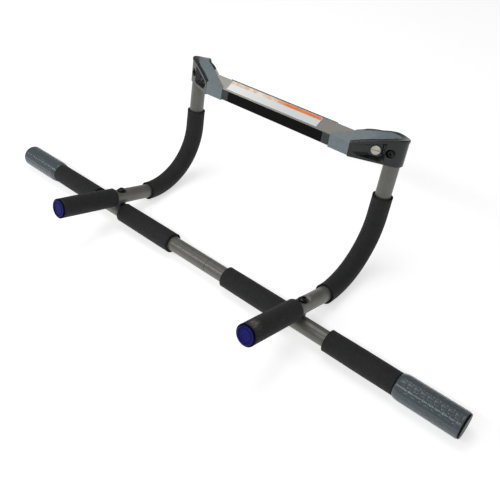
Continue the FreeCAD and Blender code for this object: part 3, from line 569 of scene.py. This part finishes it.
def top_height(trees, x, y):
    """Height of the surfaces' highest point near a point of the head's plan, gaps bridged."""
    down = (HEAD.to_3x3() @ Vector((0, 0, -1))).normalized()
    heights = []
    for step_x, step_y in ((0, 0), (1, 0), (-1, 0), (0, 1), (0, -1)):
        start = HEAD @ Vector((x + step_x * GAP_REACH, y + step_y * GAP_REACH, ABOVE_HEAD))
        hits = [tree.ray_cast(start, down)[0] for tree in trees]
        heights += [(HEAD.inverted() @ hit).z for hit in hits if hit]
    return max(heights)


def build_panel_tips():
    """The rounded end of each pad's panel, laid over the bracket's curved top."""
    bpy.context.view_layer.update()
    near_edge, far_edge = list(zip(*TIP_NEAR)), list(zip(*TIP_FAR))
    for side_name, side in SIDES.items():
        nodes = [frame["nodes"][side_name + part] for part in ("_bracket", "_wall_pad")]
        trees = [surface_tree(node) for node in nodes]
        points = []
        for along in np.linspace(TIP_NEAR[0][0], TIP_NEAR[-1][0], TIP_ROWS):
            near, far = np.interp(along, *near_edge), np.interp(along, *far_edge)
            top, bottom = [], []
            for behind in np.linspace(near, far, TIP_COLUMNS):
                spot = FACE_CORNER + FACE_ALONG * along + FACE_INWARD * behind
                height = top_height(trees, side * spot.x, spot.y)
                top.append((side * spot.x, spot.y, height + TIP_PROUD))
                bottom.append((side * spot.x, spot.y, height - TIP_SUNK))
            points += top + bottom[::-1]
        ring = 2 * TIP_COLUMNS
        faces = ring_faces(TIP_ROWS, ring, closed=False) + end_faces(TIP_ROWS, ring)
        if side < 0:
            faces = [tuple(reversed(face)) for face in faces]
        make_mesh(side_name + "_panel_tip", points, faces, "pad_rubber", HEAD)


# ---------------------------------------------------------------- crossbar faces

def on_front(x, up, out):
    """A point on the crossbar's front face, given its height and how far it stands out."""
    return Vector((x, BEAM_FRONT - out, BEAM_LOW + up))


def on_top(x, across, out):
    """A point on the crossbar's sloping top, measured back from its front edge."""
    slope = Vector((0, BEAM_BACK - BEAM_FRONT, BEAM_BACK_TOP - BEAM_FRONT_TOP)).normalized()
    outward = Vector((0, -slope.z, slope.y))
    return Vector((x, BEAM_FRONT, BEAM_FRONT_TOP)) + slope * across + outward * out


CORNER_STEPS = 6


def rounded_outline(low, high, radius):
    """Points round a rectangle with rounded corners, in order."""
    outline = []
    right, top = high[0] - radius, high[1] - radius
    left, bottom = low[0] + radius, low[1] + radius
    centres = ((right, top), (left, top), (left, bottom), (right, bottom))
    for quarter, (x, y) in enumerate(centres):
        for k in range(CORNER_STEPS + 1):
            a = math.pi / 2 * (quarter + k / CORNER_STEPS)
            outline.append((x + radius * math.cos(a), y + radius * math.sin(a)))
    return outline


PLATE_EDGE = 0.15


def plate(name, face, low, high, thick, slot_name, radius=1.0, sink=0.05, material=None):
    """A thin rounded plate that lies on one of the crossbar's faces."""
    edge = min(PLATE_EDGE, thick / 2)
    rings = [(0.0, -sink), (0.0, thick - edge), (edge, thick)]
    points = []
    for inset, out in rings:
        inner_low = (low[0] + inset, low[1] + inset)
        inner_high = (high[0] - inset, high[1] - inset)
        points += [face(x, y, out) for x, y in rounded_outline(inner_low, inner_high, radius)]
    count = len(points) // len(rings)
    faces = ring_faces(len(rings), count, closed=False) + end_faces(len(rings), count)
    return make_mesh(name, points, faces, slot_name, HEAD, smooth=False, material=material)


BAND_LOW, BAND_HIGH, BAND_HALF = 0.9, 17.9, 97.0
# ends of the dark plates on the crossbar's front face: the moulding's own grey with painted shade
SHADE_ENDS = (97.4, 110.6)


def build_crossbar_faces():
    """The front band between two dark plates at its ends, the moulding's own dark grey with painted
    shade, the blank card with its stripe, and a bead.
    """
    slot_name = "grey_plastic"
    plate("front_band", on_front, (-BAND_HALF, BAND_LOW), (BAND_HALF, BAND_HIGH), thick=0.5,
          slot_name=slot_name, material=MATERIALS["band_plastic"])
    for side_name, side in SIDES.items():
        # dark plates of painted shade where the crossbar's front face falls in shade, in the
        # moulding's own dark grey
        left, right = sorted(side * end for end in SHADE_ENDS)
        plate(side_name + "_front_painted_shade", on_front, (left, BAND_LOW), (right, BAND_HIGH), thick=0.8,
              slot_name=slot_name, material=MATERIALS["dark_plastic_and_shade"])
    plate("top_card", on_top, (-104.0, 2.6), (82.5, 21.6), thick=0.2, slot_name=slot_name,
          radius=0.8, material=MATERIALS["label_card_and_glare"])
    plate("top_stripe", on_top, (-103.0, 15.6), (81.8, 21.2), thick=0.28, slot_name=slot_name,
          radius=0.4, sink=0.02, material=MATERIALS["stripe_ink_and_glare"])
    plate("top_back_bead", on_top, (-109.0, 23.0), (109.0, 24.2), thick=0.35,
          slot_name=slot_name, radius=0.3, material=MATERIALS["dark_plastic_and_shade"])


# ---------------------------------------------------------------- CAD nodes that stay

def finish_nodes():
    slots = {row["node"]: row["material_slot"] for row in frame["record"]["subparts"]}
    for name, obj in frame["nodes"].items():
        finish = "plug_plastic" if name.endswith("bar_plug") else slots[name]
        obj.data.materials.clear()
        obj.data.materials.append(MATERIALS[finish])


# ---------------------------------------------------------------- camera, light and floor, in metres

CAMERA_LENS = 43.63
CAMERA_PLACE = (0.54341, BAR_Y - 0.475497, 0.71094)
CAMERA_TURN = (0.817082, 0.018955, 0.717558)


def place_camera():
    data = bpy.data.cameras.new("camera")
    data.sensor_width = 36.0
    data.lens = CAMERA_LENS
    camera = bpy.data.objects.new("camera", data)
    camera.location = CAMERA_PLACE
    camera.rotation_euler = CAMERA_TURN
    bpy.context.scene.collection.objects.link(camera)
    bpy.context.scene.camera = camera


def area_light(name, location, target, size, power):
    """A rectangular light aimed at a point: metres and watts."""
    data = bpy.data.lights.new(name, "AREA")
    data.shape = "RECTANGLE"
    data.size, data.size_y = size
    data.energy = power
    light = bpy.data.objects.new(name, data)
    light.location = location
    direction = Vector(target) - Vector(location)
    light.rotation_euler = direction.to_track_quat("-Z", "Y").to_euler()
    bpy.context.scene.collection.objects.link(light)


def light_studio():
    world = bpy.data.worlds.new("studio")
    world.use_nodes = True
    background = world.node_tree.nodes["Background"]
    background.inputs["Color"].default_value = (1.0, 1.0, 1.0, 1.0)
    background.inputs["Strength"].default_value = 0.30
    bpy.context.scene.world = world
    area_light("key", (-0.35, 0.32, 1.9), target=(0, 0, 0.05), size=(1.1, 0.8), power=9)
    area_light("side_strip", (-0.75, -1.12, 1.22), target=(-0.75, 0, 0), size=(2.6, 0.15),
               power=13)
    bpy.context.scene.view_settings.view_transform = "Standard"


FLOOR_HALF = 30
FLOOR_DROP = 0.0004  # keeps the floor just below what stands on it


def lay_floor():
    """A pale floor that glows a little, so that it renders nearly white."""
    corners = ((-1, -1), (1, -1), (1, 1), (-1, 1))
    points = [(x * FLOOR_HALF, y * FLOOR_HALF, 0) for x, y in corners]
    mesh = bpy.data.meshes.new("floor")
    mesh.from_pydata(points, [], [(0, 1, 2, 3)])
    s = Shader("floor")
    s.feed("Base Color", two_tone(s, (0.64, 0.64, 0.64), (0.66, 0.66, 0.66), 3))
    s.feed("Roughness", 0.9)
    s.feed("Emission Color", (1.0, 1.0, 1.0, 1.0))
    s.feed("Emission Strength", 0.62)
    mesh.materials.append(s.material)
    floor = bpy.data.objects.new("floor", mesh)
    floor.location.z = -FLOOR_DROP
    bpy.context.scene.collection.objects.link(floor)


finish_nodes()
build_foam()
build_bumpers()
build_pads()
build_panel_tips()
build_crossbar_faces()
place_camera()
light_studio()
lay_floor()
